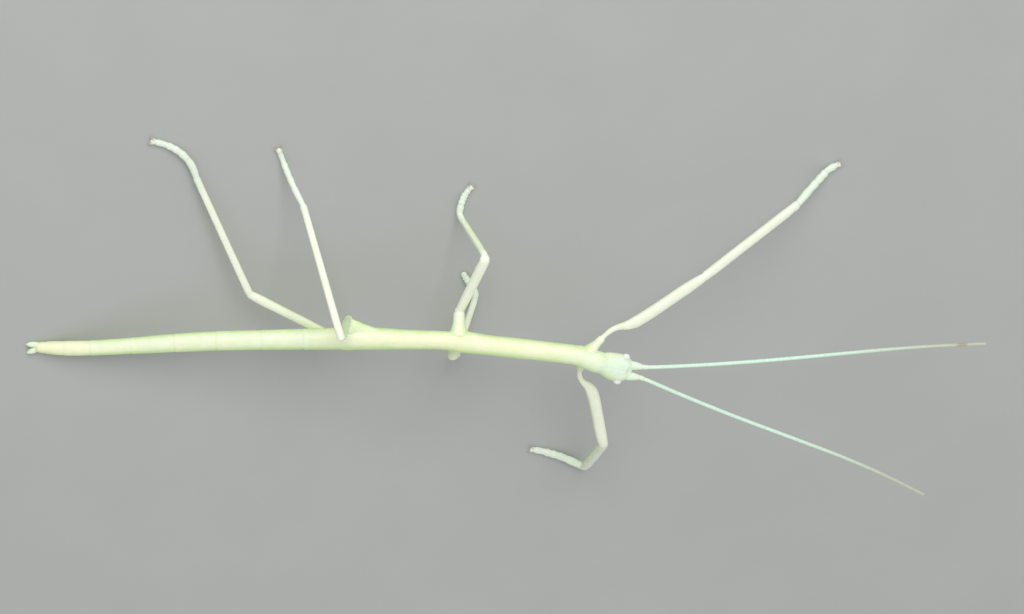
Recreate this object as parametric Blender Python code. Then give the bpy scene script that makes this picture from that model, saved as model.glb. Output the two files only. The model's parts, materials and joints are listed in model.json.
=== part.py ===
"""Giant stick insect: a slender, wingless, pale green young one, standing with its legs spread.

Frame: +X runs from tail to head, +Y is the insect's left side, +Z is up and the floor is z = 0.
The origin is on the floor where the tip of the abdomen rests. Sizes below are in millimetres and angles in
degrees. A heading turns from +X towards +Y, and a rise is measured up from the level.
"""
import math

import bmesh
import bpy
from mathutils import Vector

for item in list(bpy.data.objects):
    bpy.data.objects.remove(item)

insect = bpy.data.collections.new("giant_stick_insect")
cutters = bpy.data.collections.new("cutters")
bpy.context.scene.collection.children.link(insect)
bpy.context.scene.collection.children.link(cutters)
root = bpy.data.objects.new("stick_insect_root", None)
insect.objects.link(root)

MM = 0.001

# Thin cut that parts each piece from its neighbour
GAP = 0.25
# Corners nearer than this, in metres, are one
MERGE_DISTANCE = 1e-7

# The trunk, from the tail forward: name, length, heading, rise
TRUNK = (
    ("abdomen_10", 1.4, 0, 8),
    ("abdomen_9", 2.5, 0, 11),
    ("abdomen_8", 3.9, 4, 12),
    ("abdomen_7", 5.6, 7, 11),
    ("abdomen_6", 6.2, 8.5, 12),
    ("abdomen_5", 5.8, 7.5, 12),
    ("abdomen_4", 6.3, 4.5, 11.5),
    ("abdomen_3", 5.8, 4, 11),
    ("abdomen_2", 5.2, 3.5, 10.5),
    ("metathorax", 15.0, 1.5, 11),
    ("mesothorax", 18.4, -5.25, 11.5),
    ("prothorax", 3.9, -23.5, 8),
    ("head", 4.8, -22, -1),
)
TAIL = (-0.7, -0.1, 0.42)
RINGS_ON_FLOOR = 3
BODY_ROLL = 10

# Half width of the abdomen where each ring starts, from the tail forward, and where the last one ends
ABDOMEN_GIRTHS = (0.66, 0.88, 1.08, 1.10, 1.18, 1.36, 1.42, 1.45, 1.52, 1.58)
ABDOMEN_SWELL = ((0.0, 0.95), (0.14, 1.0), (0.5, 1.02), (0.86, 1.0), (1.0, 0.95))

# Half width and pleural bulge at places along each part of the thorax, as fractions of its length
METATHORAX = ((0.0, 1.52, 0.0), (0.03, 1.58, 0.04), (0.09, 1.60, 0.24), (0.14, 1.58, 0.40),
              (0.20, 1.54, 0.26), (0.32, 1.50, 0.10), (0.60, 1.42, 0.0), (0.97, 1.34, 0.0), (1.0, 1.26, 0.0))
MESOTHORAX = ((0.0, 1.26, 0.0), (0.02, 1.34, 0.04), (0.09, 1.48, 0.24), (0.16, 1.54, 0.10),
              (0.30, 1.53, 0.0), (0.75, 1.44, 0.0), (0.97, 1.44, 0.0), (1.0, 1.34, 0.0))
PROTHORAX = ((0.0, 1.34, 0.0), (0.10, 1.44, 0.0), (0.40, 1.48, 0.15), (0.72, 1.50, 0.04),
             (0.92, 1.54, 0.0), (1.0, 1.44, 0.0))
# How tall the trunk is for its width, how shallow its underside, and where the bulges lie on its flanks,
# as the sine of the angle round it
TRUNK_FLATNESS = 0.92
BELLY_FLATNESS = 0.88
BULGE_HEIGHT = -0.35
BULGE_SPREAD = 0.45
TRUNK_SIDES = 16

# The head capsule: place along it, half width, half height, drop of the centre
HEAD = ((0.0, 1.42, 1.20, 0.0), (0.08, 1.62, 1.32, 0.0), (0.22, 1.78, 1.40, 0.02), (0.42, 1.96, 1.46, 0.04),
        (0.62, 2.03, 1.48, 0.08), (0.83, 1.82, 1.34, 0.14), (0.95, 1.40, 1.06, 0.22), (1.0, 0.92, 0.70, 0.28))
HEAD_SIDES = 18
HEAD_ROLL = 18
CHIN_FLATNESS = 0.92
EYE_RADIUS = 0.54
EYE_PLACE = (3.22, 1.82, 0.32)
MOUTH_PLACE = (3.55, 0.0, -0.45)
MOUTH_TILT = 40

# The feelers: socket on the head (forward, sideways, up), then heading and rise of each length
FEELER_SOCKET = (4.3, 0.83, 0.22)
SCAPE = (1.9, 0.64, 0.50)
PEDICEL = (0.9, 0.38, 0.36)
FLAGELLUM_PARTS = ("a", "b", "c")
FLAGELLUM_STEPS = 9
FLAGELLUM_LENGTH = 50.0
FLAGELLUM_RADII = (0.29, 0.27)
FLAGELLUM_POINT = 0.6
FEELER_SIDES = 8
FEELERS = {
    "left": {"scape": (-17, 0), "flagellum": (-1, 3.5), "bow": 4, "tip": -5},
    "right": {"scape": (-13, 1), "flagellum": (-29, 6), "bow": 4, "tip": -9},
}
FLAGELLUM_DROOP = 4

# The legs: the part of the thorax that bears them, the hip's distance from the tail along the trunk, how far
# its socket lies from the trunk's middle line, the coxa's radii, and the length of each part of the leg
LEG_PAIRS = {
    "fore": {
        "thorax": "prothorax", "hip": 77.2, "socket": 1.3, "coxa_radius": 0.74, "coxa_tip": 0.46,
        "coxa": 3.8, "femur": 16.7, "tibia": 17.6, "tarsus": 8.6,
    },
    "mid": {
        "thorax": "mesothorax", "hip": 59.3, "socket": 1.3, "coxa_radius": 0.98, "coxa_tip": 0.72,
        "coxa": 4.2, "femur": 10.7, "tibia": 10.4, "tarsus": 4.0,
    },
    "hind": {
        "thorax": "metathorax", "hip": 44.1, "socket": 1.7, "coxa_radius": 0.75, "coxa_tip": 0.56,
        "coxa": 3.5, "femur": 15.2, "tibia": 20.0, "tarsus": 8.0,
    },
}
# How each leg is held: heading and rise of coxa and of femur, heading of the tibia, heading of the tarsus
# and how far that turns along its length, height of the ankle
LEG_POSES = {
    ("fore", "left"): ((36, -21), (24.4, -11), 24.8, (26, 0), 4.6),
    ("fore", "right"): ((-87, -27), (-72, -5), -86, (145, 20), 1.2),
    ("mid", "left"): ((86, -28), (74, 8), 182.5, (90, -37), 1.2),
    ("mid", "right"): ((-95, -22), (-68, -50), 75, (124, -3), 1.2),
    ("hind", "left"): ((96, -4), (118.5, 60), 104, (122, -16), 5.0),
    ("hind", "right"): ((-104, -46), (149.5, -9.5), 111.5, (98, 70), 1.2),
}
# Half width and half depth at places along each part. The fore femur curves round the head, so its places
# also carry how far the middle swings towards it.
FEMUR_SHAPES = {
    "fore": ((0.0, 0.44, 0.42, 0.0), (0.06, 0.37, 0.35, -0.38), (0.12, 0.37, 0.35, -0.40),
             (0.18, 0.42, 0.38, -0.14), (0.235, 0.70, 0.54, 0.36), (0.31, 0.90, 0.66, 0.64),
             (0.42, 0.90, 0.70, 0.64), (0.60, 0.87, 0.68, 0.44), (0.80, 0.87, 0.68, 0.16), (1.0, 0.80, 0.66, 0.0)),
    "mid": ((0.0, 0.64, 0.56), (0.14, 0.70, 0.56), (0.45, 0.76, 0.58), (0.80, 0.77, 0.60),
            (0.93, 0.83, 0.63), (1.0, 0.78, 0.62)),
    "hind": ((0.0, 0.46, 0.44), (0.12, 0.56, 0.48), (0.40, 0.64, 0.52), (0.75, 0.66, 0.53),
             (0.93, 0.72, 0.56), (1.0, 0.66, 0.56)),
}
TIBIA_SHAPES = {
    "fore": ((0.0, 0.78, 0.64), (0.10, 0.74, 0.60), (0.55, 0.71, 0.58),
             (0.92, 0.69, 0.56), (1.0, 0.66, 0.54)),
    "mid": ((0.0, 0.66, 0.58), (0.12, 0.54, 0.48), (0.60, 0.47, 0.42), (0.88, 0.45, 0.40), (1.0, 0.44, 0.40)),
    "hind": ((0.0, 0.60, 0.54), (0.10, 0.56, 0.48), (0.55, 0.52, 0.44),
             (0.92, 0.49, 0.42), (1.0, 0.47, 0.42)),
}
LIMB_SIDES = 10

# Tarsus: length of each joint as a share of the whole, place and swelling along a joint, its half width,
# its flatness, and the share of its length at which it has come down to the floor
TARSOMERES = (0.36, 0.18, 0.14, 0.11, 0.21)
TARSOMERE_SHAPE = ((0.55, 0.95), (0.86, 1.06))
TARSUS_HALF_WIDTHS = {"fore": 0.66, "mid": 0.46, "hind": 0.48}
TARSUS_WAIST = 0.86
TARSUS_FLATNESS = 0.86
TARSUS_SIDES = 8
TOUCHDOWN = 0.86
SAG_POWER = 1.1
FOOT_HEIGHT = 0.30
PAD_RADIUS = 0.54
CLAW_LENGTH = 0.8
CLAW_RADIUS = 0.20
CLAW_TAPER = 0.45
CLAW_ARCH = 0.20
CLAW_DIP = 0.16
CLAW_SPLAY = 32

# Cerci, the two feelers of the tail: spacing from the middle, splay outwards and dip towards the floor
CERCUS_LENGTH = 1.45
CERCUS_SPACING = 0.45
CERCUS_SPLAY = 3
CERCUS_DIP = 3
CERCUS_SHAPE = ((0.0, 0.30, 0.32), (0.25, 0.38, 0.38), (0.65, 0.32, 0.32), (1.0, 0.14, 0.18))

# The slab under the floor that cuts the feet flat
SLAB_SIZE = (300.0, 200.0, 10.0)
SLAB_CENTRE = (60.0, 0.0, -5.0)

GREEN_WHITE = (0.78, 0.88, 0.60)
LEG_GREEN = (0.72, 0.86, 0.58)
BEIGE_WHITE = (0.86, 0.82, 0.70)
FEELER_WHITE = (0.80, 0.87, 0.84)
EYE_WHITE = (0.90, 0.84, 0.82)


def direction(heading, rise):
    """Unit vector of a heading and a rise in degrees."""
    level = math.cos(math.radians(rise))
    return Vector((
        level * math.cos(math.radians(heading)),
        level * math.sin(math.radians(heading)),
        math.sin(math.radians(rise)),
    ))


def sideways(heading, roll=0.0):
    """Unit vector to the left of a heading, turned about it by a roll in degrees."""
    level = Vector((-math.sin(math.radians(heading)), math.cos(math.radians(heading)), 0.0))
    lean = math.radians(roll)
    return level * math.cos(lean) - Vector((0.0, 0.0, 1.0)) * math.sin(lean)


def oval(half_width, half_depth, sides, bulge=0.0, belly=1.0):
    """Corners of an oval section, with a swelling low on both flanks and a flatter underside."""
    corners = []
    for step in range(sides):
        angle = math.tau * step / sides
        level = math.sin(angle)
        swell = 1.0 + bulge * max(0.0, 1.0 - abs(level - BULGE_HEIGHT) / BULGE_SPREAD)
        depth = half_depth * level * (belly if level < 0 else 1.0)
        corners.append((half_width * math.cos(angle) * swell, depth))
    return corners


def skin(name, stations):
    """Joins sections into one closed skin about its own origin: each station is a list of world points."""
    shape = bmesh.new()
    origin = sum(stations[0], Vector()) / len(stations[0])
    rings = [[shape.verts.new((point - origin) * MM) for point in station] for station in stations]
    sides = len(rings[0])
    for rear, front in zip(rings, rings[1:]):
        for step in range(sides):
            follow = (step + 1) % sides
            shape.faces.new((rear[step], rear[follow], front[follow], front[step]))
    shape.faces.new(rings[0])
    shape.faces.new(rings[-1])
    bmesh.ops.recalc_face_normals(shape, faces=shape.faces)
    mesh = bpy.data.meshes.new(name)
    shape.to_mesh(mesh)
    shape.free()
    return mesh, origin


def ball(name, radius):
    """A round mesh, for an eye or for a socket."""
    shape = bmesh.new()
    bmesh.ops.create_uvsphere(shape, u_segments=10, v_segments=6, radius=radius * MM)
    mesh = bpy.data.meshes.new(name)
    shape.to_mesh(mesh)
    shape.free()
    return mesh


def loft(name, stations, colour, roughness=0.5):
    """A named piece from a row of sections."""
    mesh, origin = skin(name, stations)
    return place(name, mesh, origin, colour, roughness)


def place(name, mesh, origin, colour, roughness):
    """Puts a mesh in the insect's collection at its own origin, with its own material."""
    material = bpy.data.materials.new(name)
    material.use_nodes = True
    surface = material.node_tree.nodes["Principled BSDF"]
    surface.inputs["Base Color"].default_value = (*colour, 1.0)
    surface.inputs["Roughness"].default_value = roughness
    surface.inputs["Metallic"].default_value = 0.0
    mesh.materials.append(material)
    mesh.shade_smooth()
    mesh.set_sharp_from_angle(angle=math.radians(40))
    piece = bpy.data.objects.new(name, mesh)
    piece.location = origin * MM
    piece.parent = root
    insect.objects.link(piece)
    return piece


def section(centre, axis, side, corners, cut=None, reach=math.inf):
    """Sets an oval square to an axis; with a cut normal, each corner slides along the axis to that plane,
    but no further than a reach."""
    across = (side - axis * side.dot(axis)).normalized()
    above = axis.cross(across)
    points = []
    for wide, deep in corners:
        point = centre + across * wide + above * deep
        if cut:
            slide = (centre - point).dot(cut) / axis.dot(cut)
            point += axis * max(-reach, min(reach, slide))
        points.append(point)
    return points


def limb(name, start, end, shape, side, colour, cuts=(None, None), sides=LIMB_SIDES, inward=None):
    """A straight or curved length of limb between two joints, cut on the given planes."""
    axis = (end - start).normalized()
    stations = []
    for share, half_width, half_depth, *swing in shape:
        corners = oval(half_width, half_depth, sides)
        centre = start.lerp(end, share)
        if swing:
            centre += inward * swing[0]
        if share == 0.0:
            normal = cuts[0] or axis
            centre += axis * (GAP / 2 / axis.dot(normal))
            stations.append(section(centre, axis, side, corners, normal, half_width))
        elif share == 1.0:
            normal = cuts[1] or axis
            centre -= axis * (GAP / 2 / axis.dot(normal))
            stations.append(section(centre, axis, side, corners, normal, half_width))
        else:
            stations.append(section(centre, axis, side, corners))
    return loft(name, stations, colour)


def slice_off(piece, point, normal):
    """Cuts away what lies beyond a plane through a world point and closes the cut."""
    shape = bmesh.new()
    shape.from_mesh(piece.data)
    local = point * MM - piece.location
    whole = shape.verts[:] + shape.edges[:] + shape.faces[:]
    bmesh.ops.bisect_plane(shape, geom=whole, plane_co=local, plane_no=normal, clear_outer=True)
    bmesh.ops.remove_doubles(shape, verts=shape.verts, dist=MERGE_DISTANCE)
    rim = [edge for edge in shape.edges if edge.is_boundary]
    bmesh.ops.holes_fill(shape, edges=rim, sides=0)
    bmesh.ops.recalc_face_normals(shape, faces=shape.faces)
    shape.to_mesh(piece.data)
    shape.free()


def hide_away(name, mesh, origin):
    """Puts a tool for cutting or joining in its own collection, unseen."""
    tool = bpy.data.objects.new(name, mesh)
    tool.location = origin * MM
    tool.hide_render = True
    tool.display_type = "WIRE"
    cutters.objects.link(tool)
    return tool


def ball_cutter(name, centre, radius):
    """A hidden ball at a world point."""
    return hide_away(name, ball(name, radius), centre)


def join(piece, tool, operation):
    """Adds a tool's shape to a piece, or takes it away."""
    change = piece.modifiers.new(tool.name, "BOOLEAN")
    change.operation = operation
    change.solver = "EXACT"
    change.object = tool


def socket(piece, name, centre, radius):
    """Hollows a round socket in a piece."""
    join(piece, ball_cutter(name, centre, radius), "DIFFERENCE")


def walk_trunk():
    """Joints of the trunk from the tail to the front of the head."""
    joints = [Vector(TAIL)]
    for _, length, heading, rise in TRUNK:
        joints.append(joints[-1] + direction(heading, rise) * length)
    return joints


def trunk_place(distance):
    """Point on the trunk's middle line at a distance from the tail."""
    for joint, (_, length, heading, rise) in zip(walk_trunk(), TRUNK):
        if distance <= length:
            return joint + direction(heading, rise) * distance
        distance -= length
    raise ValueError(distance)


def trunk_piece(index, shape):
    """One length of the trunk: shape rows are place, half width, pleural bulge."""
    name, _, heading, rise = TRUNK[index]
    joints = walk_trunk()
    start, end = joints[index], joints[index + 1]
    axis = direction(heading, rise)
    side = sideways(heading, BODY_ROLL)
    before = direction(*TRUNK[max(index - 1, 0)][2:])
    after = direction(*TRUNK[min(index + 1, len(TRUNK) - 1)][2:])
    stations = []
    for share, half_width, bulge in shape:
        corners = oval(half_width, half_width * TRUNK_FLATNESS, TRUNK_SIDES, bulge, BELLY_FLATNESS)
        centre = start.lerp(end, share)
        if share == 0.0:
            stations.append(section(centre + axis * GAP / 2, axis, side, corners, axis + before))
        elif share == 1.0:
            stations.append(section(centre - axis * GAP / 2, axis, side, corners, axis + after))
        else:
            stations.append(section(centre, axis, side, corners))
    return loft(name, stations, GREEN_WHITE)


def abdomen():
    """The rings of the abdomen, each a little swollen between its ends, and the two tail feelers."""
    for index, (rear, front) in enumerate(zip(ABDOMEN_GIRTHS, ABDOMEN_GIRTHS[1:])):
        shape = [(share, (rear + (front - rear) * share) * swell, 0.0) for share, swell in ABDOMEN_SWELL]
        ring = trunk_piece(index, shape)
        if index < RINGS_ON_FLOOR:
            slice_off(ring, Vector(), Vector((0.0, 0.0, -1.0)))
    tail = walk_trunk()[0]
    _, _, heading, rise = TRUNK[0]
    for name, sign in (("left", 1), ("right", -1)):
        lateral = sideways(heading, BODY_ROLL) * sign
        base = tail + lateral * CERCUS_SPACING - direction(heading, rise) * GAP
        tip = base - direction(heading - sign * CERCUS_SPLAY, rise - CERCUS_DIP) * CERCUS_LENGTH
        cercus = limb("cercus_" + name, base, tip, CERCUS_SHAPE, lateral, GREEN_WHITE, sides=FEELER_SIDES)
        slice_off(cercus, Vector(), Vector((0.0, 0.0, -1.0)))


def head_frame():
    """Base point of the head and its forward, left and up directions."""
    _, _, heading, rise = TRUNK[-1]
    base = walk_trunk()[-2]
    forward = direction(heading, rise)
    left = sideways(heading, HEAD_ROLL)
    left = (left - forward * left.dot(forward)).normalized()
    return base, forward, left, forward.cross(left)


def on_head(place_on_head, sign=1):
    """World point of a place on the head, mirrored to the right side by a sign of -1."""
    base, forward, left, up = head_frame()
    ahead, aside, above = place_on_head
    return base + forward * ahead + left * aside * sign + up * above


def head():
    """The head capsule, the mouthparts cut from its lower front, and the eyes in their sockets."""
    base, forward, left, up = head_frame()
    length = TRUNK[-1][1]
    stations = []
    for share, half_width, half_height, drop in HEAD:
        ahead = max(share * length, GAP / 2)
        corners = oval(half_width, half_height, HEAD_SIDES, belly=CHIN_FLATNESS)
        stations.append(section(base + forward * ahead - up * drop, forward, left, corners))
    tilt = math.radians(MOUTH_TILT)
    mouth_normal = forward * math.cos(tilt) - up * math.sin(tilt)
    mouth_point = on_head(MOUTH_PLACE)
    capsule = loft("head", stations, GREEN_WHITE)
    slice_off(capsule, mouth_point - mouth_normal * GAP / 2, mouth_normal)
    mouth = loft("mouthparts", stations, GREEN_WHITE)
    slice_off(mouth, mouth_point + mouth_normal * GAP / 2, -mouth_normal)
    for name, sign in (("left", 1), ("right", -1)):
        eye_centre = on_head(EYE_PLACE, sign)
        socket(capsule, "eye_socket_" + name, eye_centre, EYE_RADIUS + GAP)
        place("eye_" + name, ball("eye_" + name, EYE_RADIUS), eye_centre, EYE_WHITE, 0.2)
        feeler_base = on_head(FEELER_SOCKET, sign)
        socket(capsule, "feeler_socket_" + name, feeler_base, SCAPE[1] + GAP)
        socket(mouth, "feeler_clearance_" + name, feeler_base, SCAPE[1] + GAP)


def feeler(name, sign):
    """One long feeler: scape, pedicel and a flagellum that curves gently, in three lengths."""
    pose = FEELERS[name]
    start = on_head(FEELER_SOCKET, sign)
    side = sideways(pose["scape"][0], HEAD_ROLL)
    scape_axis = direction(*pose["scape"])
    heading, rise = pose["flagellum"]
    lead_axis = direction(heading, rise)
    length, half_width, half_depth = SCAPE
    pedicel_axis = (scape_axis + lead_axis).normalized()
    bend = scape_axis + pedicel_axis
    scape_shape = ((0.0, half_width * 0.50, half_depth * 0.60), (0.25, half_width, half_depth),
                   (0.75, half_width * 0.92, half_depth * 0.92), (1.0, half_width * 0.62, half_depth * 0.70))
    joint = start + scape_axis * length
    limb("antenna_scape_" + name, start, joint, scape_shape, side, FEELER_WHITE, (None, bend))
    length, half_width, half_depth = PEDICEL
    pedicel_shape = ((0.0, half_width * 0.75, half_depth * 0.75), (0.4, half_width, half_depth),
                     (1.0, half_width * 0.82, half_depth * 0.86))
    knuckle = joint + pedicel_axis * length
    limb("antenna_pedicel_" + name, joint, knuckle, pedicel_shape, side, FEELER_WHITE, (bend, None))
    total = FLAGELLUM_STEPS * len(FLAGELLUM_PARTS)
    point = knuckle
    for index, part in enumerate(FLAGELLUM_PARTS):
        stations = []
        for step in range(FLAGELLUM_STEPS + 1):
            share = (index * FLAGELLUM_STEPS + step) / total
            turn = pose["bow"] * math.sin(math.pi * share) + pose["tip"] * share ** 4
            axis = direction(heading + turn, rise - FLAGELLUM_DROOP * share ** 2)
            radius = FLAGELLUM_RADII[0] + (FLAGELLUM_RADII[1] - FLAGELLUM_RADII[0]) * share
            cut = 0.0
            if step == 0:
                cut = GAP / 2
            elif share == 1.0:
                radius *= FLAGELLUM_POINT
            elif step == FLAGELLUM_STEPS:
                cut = -GAP / 2
            stations.append(section(point + axis * cut, axis, side, oval(radius, radius, FEELER_SIDES)))
            if step < FLAGELLUM_STEPS:
                point = point + axis * (FLAGELLUM_LENGTH / total)
        loft("antenna_flagellum_" + name + "_" + part, stations, FEELER_WHITE)


def leg(pair, side_name):
    """One leg: coxa in its socket, femur, tibia down to the ankle's height, and tarsus along the floor."""
    sizes = LEG_PAIRS[pair]
    coxa_pose, femur_pose, tibia_heading, tarsus_pose, ankle_height = LEG_POSES[(pair, side_name)]
    label = pair + "_" + side_name
    hip = trunk_place(sizes["hip"])
    trochanter = hip + direction(*coxa_pose) * sizes["coxa"]
    knee = trochanter + direction(*femur_pose) * sizes["femur"]
    tibia_rise = -math.degrees(math.asin((knee.z - ankle_height) / sizes["tibia"]))
    ankle = knee + direction(tibia_heading, tibia_rise) * sizes["tibia"]
    tarsus_rise = -math.degrees(math.asin((ankle.z - FOOT_HEIGHT) / sizes["tarsus"]))
    coxa_axis = direction(*coxa_pose)
    femur_axis = direction(*femur_pose)
    tibia_axis = direction(tibia_heading, tibia_rise)
    tarsus_axis = direction(tarsus_pose[0], tarsus_rise)

    hip_ball = hip + coxa_axis * sizes["socket"]
    radius, tip = sizes["coxa_radius"], sizes["coxa_tip"]
    middle = (radius + tip) / 2
    coxa_shape = ((0.0, radius * 0.55, radius * 0.55), (0.14, radius * 0.9, radius * 0.9),
                  (0.34, radius, radius), (0.72, middle, middle), (1.0, tip, tip))
    base = hip_ball - coxa_axis * radius * 0.8
    limb("coxa_" + label, base, trochanter, coxa_shape, sideways(coxa_pose[0]), GREEN_WHITE,
         (None, coxa_axis + femur_axis))
    socket(bpy.data.objects[sizes["thorax"]], "hip_" + label, hip_ball, radius + GAP)

    inward = sideways(femur_pose[0]) * (-1 if side_name == "left" else 1)
    limb("femur_" + label, trochanter, knee, FEMUR_SHAPES[pair], sideways(femur_pose[0]), LEG_GREEN,
         (coxa_axis + femur_axis, femur_axis + tibia_axis), inward=inward)
    limb("tibia_" + label, knee, ankle, TIBIA_SHAPES[pair], sideways(tibia_heading), LEG_GREEN,
         (femur_axis + tibia_axis, tibia_axis + tarsus_axis))
    tarsus(pair, label, ankle, tarsus_pose, tibia_axis)


def tarsus(pair, label, ankle, pose, tibia_axis):
    """The foot: five tarsomeres that sag to the floor, then a pad between two claws, with flats under it."""
    heading, turn = pose
    length = LEG_PAIRS[pair]["tarsus"]
    half_width = TARSUS_HALF_WIDTHS[pair]
    drop = ankle.z - FOOT_HEIGHT
    reach = math.sqrt(length * length - drop * drop)

    def on_path(share):
        """Middle of the foot at a share of its length: a level arc that sinks to the floor."""
        sag = max(0.0, 1.0 - share / TOUCHDOWN) ** SAG_POWER
        chord = direction(heading + turn * share / 2, 0) * reach * share
        return Vector((ankle.x + chord.x, ankle.y + chord.y, FOOT_HEIGHT + drop * sag))

    shape = []
    walked = 0.0
    for joint in TARSOMERES:
        shape.append((walked, TARSUS_WAIST))
        shape += [(walked + joint * share, swell) for share, swell in TARSOMERE_SHAPE]
        walked += joint
    stations = []
    for share, swell in shape:
        centre = on_path(share)
        axis = (on_path(share + 0.02) - on_path(max(share - 0.02, 0.0))).normalized()
        side = sideways(heading + turn * share)
        corners = oval(half_width * swell, half_width * swell * TARSUS_FLATNESS, TARSUS_SIDES)
        if share == 0.0:
            cut = (tibia_axis + axis).normalized()
            centre += axis * (GAP / 2 / axis.dot(cut))
            stations.append(section(centre, axis, side, corners, cut, half_width))
        else:
            stations.append(section(centre, axis, side, corners))
    foot = loft("tarsus_" + label, stations, BEIGE_WHITE)

    toe = on_path(1.0)
    last_heading = heading + turn
    pad = ball_cutter("pad_" + label, toe, PAD_RADIUS)
    join(foot, pad, "UNION")
    for name, sign in (("inner", -1), ("outer", 1)):
        out = direction(last_heading + sign * CLAW_SPLAY, 0)
        join(foot, claw("claw_" + label + "_" + name, toe + out * PAD_RADIUS * 0.6, out), "UNION")
    join(foot, floor_cutter, "DIFFERENCE")


def claw(name, start, out):
    """A short hook that arches out from the toe and down to the floor, to be joined to the foot."""
    stations = []
    for share in (0.0, 0.5, 1.0):
        centre = start + out * CLAW_LENGTH * share
        centre.z = FOOT_HEIGHT + CLAW_ARCH * math.sin(math.pi * share) - CLAW_DIP * share
        radius = CLAW_RADIUS * (1.0 - CLAW_TAPER * share)
        stations.append(section(centre, out, Vector((-out.y, out.x, 0.0)), oval(radius, radius, 5)))
    mesh, origin = skin(name, stations)
    return hide_away(name, mesh, origin)


slab = bmesh.new()
bmesh.ops.create_cube(slab, size=MM)
bmesh.ops.scale(slab, vec=SLAB_SIZE, verts=slab.verts)
slab_mesh = bpy.data.meshes.new("floor_cutter")
slab.to_mesh(slab_mesh)
slab.free()
floor_cutter = hide_away("floor_cutter", slab_mesh, Vector(SLAB_CENTRE))

abdomen()
for thorax_index, thorax_shape in ((9, METATHORAX), (10, MESOTHORAX), (11, PROTHORAX)):
    trunk_piece(thorax_index, thorax_shape)
head()
for feeler_side, feeler_sign in (("left", 1), ("right", -1)):
    feeler(feeler_side, feeler_sign)
for leg_pair, leg_side in LEG_POSES:
    leg(leg_pair, leg_side)
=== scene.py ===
import json
import math

import bpy
import numpy as np
from mathutils import Matrix, Vector, kdtree

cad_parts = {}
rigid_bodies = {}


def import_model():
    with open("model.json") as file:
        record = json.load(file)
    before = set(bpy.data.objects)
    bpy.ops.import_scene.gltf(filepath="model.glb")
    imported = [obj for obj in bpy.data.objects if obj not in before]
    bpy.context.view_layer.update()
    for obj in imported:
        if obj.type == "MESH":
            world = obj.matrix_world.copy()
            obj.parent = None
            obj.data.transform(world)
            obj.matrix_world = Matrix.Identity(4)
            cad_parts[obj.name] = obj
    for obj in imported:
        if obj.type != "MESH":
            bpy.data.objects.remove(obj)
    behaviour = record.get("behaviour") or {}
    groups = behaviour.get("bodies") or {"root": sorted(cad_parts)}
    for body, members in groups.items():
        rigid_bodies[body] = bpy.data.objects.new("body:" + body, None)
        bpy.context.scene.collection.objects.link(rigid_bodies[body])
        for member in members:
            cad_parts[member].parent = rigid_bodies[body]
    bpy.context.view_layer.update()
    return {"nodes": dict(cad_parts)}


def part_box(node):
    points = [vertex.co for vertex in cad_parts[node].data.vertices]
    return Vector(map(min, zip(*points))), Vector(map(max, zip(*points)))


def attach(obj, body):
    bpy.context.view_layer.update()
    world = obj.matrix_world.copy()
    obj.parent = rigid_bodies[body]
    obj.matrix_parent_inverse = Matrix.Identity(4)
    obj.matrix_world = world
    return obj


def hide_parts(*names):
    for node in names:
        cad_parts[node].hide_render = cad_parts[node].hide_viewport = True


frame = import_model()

bpy.ops.object.select_all(action="DESELECT")

# Camera: the insect is seen from above its left side, with the head to the right and the feelers reaching
# away in front of it. A long lens keeps the slender body straight.
AIM = Vector((0.06787, -0.00016, 0.0))
CAMERA_DISTANCE = 0.4923
CAMERA_AZIMUTH = math.radians(199.51)
CAMERA_ELEVATION = math.radians(50.3)
CAMERA_ROLL = math.radians(160.11)

camera_back = Vector((
    math.sin(CAMERA_AZIMUTH) * math.cos(CAMERA_ELEVATION),
    -math.cos(CAMERA_AZIMUTH) * math.cos(CAMERA_ELEVATION),
    math.sin(CAMERA_ELEVATION),
))
bpy.ops.object.camera_add(location=AIM + camera_back * CAMERA_DISTANCE)
camera = bpy.context.object
camera.rotation_euler = (-camera_back).to_track_quat("-Z", "Y").to_euler()
camera.rotation_euler.rotate_axis("Z", CAMERA_ROLL)
camera.data.lens = 120.0
camera.data.sensor_width = 36.0
camera.data.clip_start = 0.01
camera.data.clip_end = 10.0
bpy.context.scene.camera = camera

# Trunk: nine rings of abdomen and the three parts of the thorax, in thin waxy cuticle. It is drawn straight
# in millimetres from the tail and then bent along the middle line of the frame's nodes. Each ring laps a
# little over the next one, with a soft fold between, and the hips swell low on its flanks.
MM = 0.001
BODY_ROLL = math.radians(10.0)
TRUNK_NODES = [f"abdomen_{number}" for number in range(9, 1, -1)] + ["metathorax", "mesothorax", "prothorax"]
TRUNK_TURNS = 32
STATION_GAP = 1.6
BELLY_FLATNESS = 0.90
TAIL_HEIGHT = 0.45
# Half width and half depth at the tail's tip and at the neck, and where a ring or a thorax part is measured
TAIL_GIRTH = (0.72, 0.62)
NECK_GIRTH = (1.46, 1.28)
RING_SHARES = (0.15, 0.5, 0.85)
THORAX_SHARES = (0.5, 0.75, 0.93)
# How the tail and the neck close: distance from the end, and the girth there
TAIL_END = ((0.0, 0.45), (0.10, 0.74), (0.30, 0.94), (0.60, 1.0), (1.0, 1.02))
NECK_END = ((-0.60, 1.0), (-0.20, 1.0), (0.0, 0.99), (0.25, 0.95), (0.55, 0.84), (0.75, 0.50))
# Distance from a fold between two rings, and the girth there
FOLD = (
    (-0.90, 1.0), (-0.35, 0.995), (-0.12, 0.975), (-0.03, 0.965), (0.06, 0.99), (0.18, 1.02), (0.55, 1.012),
    (1.1, 1.0),
)
# How many folds lie between rings, and how deep the ones ahead of them are, on the thorax
RING_FOLDS = 8
THORAX_FOLD = 0.3
# The groove along each flank where the back plates of the abdomen meet the belly plates
SEAM_ANGLES = (-22.5, -157.5)
SEAM_DEPTH = 0.07
SEAM_START = 3.0
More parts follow.
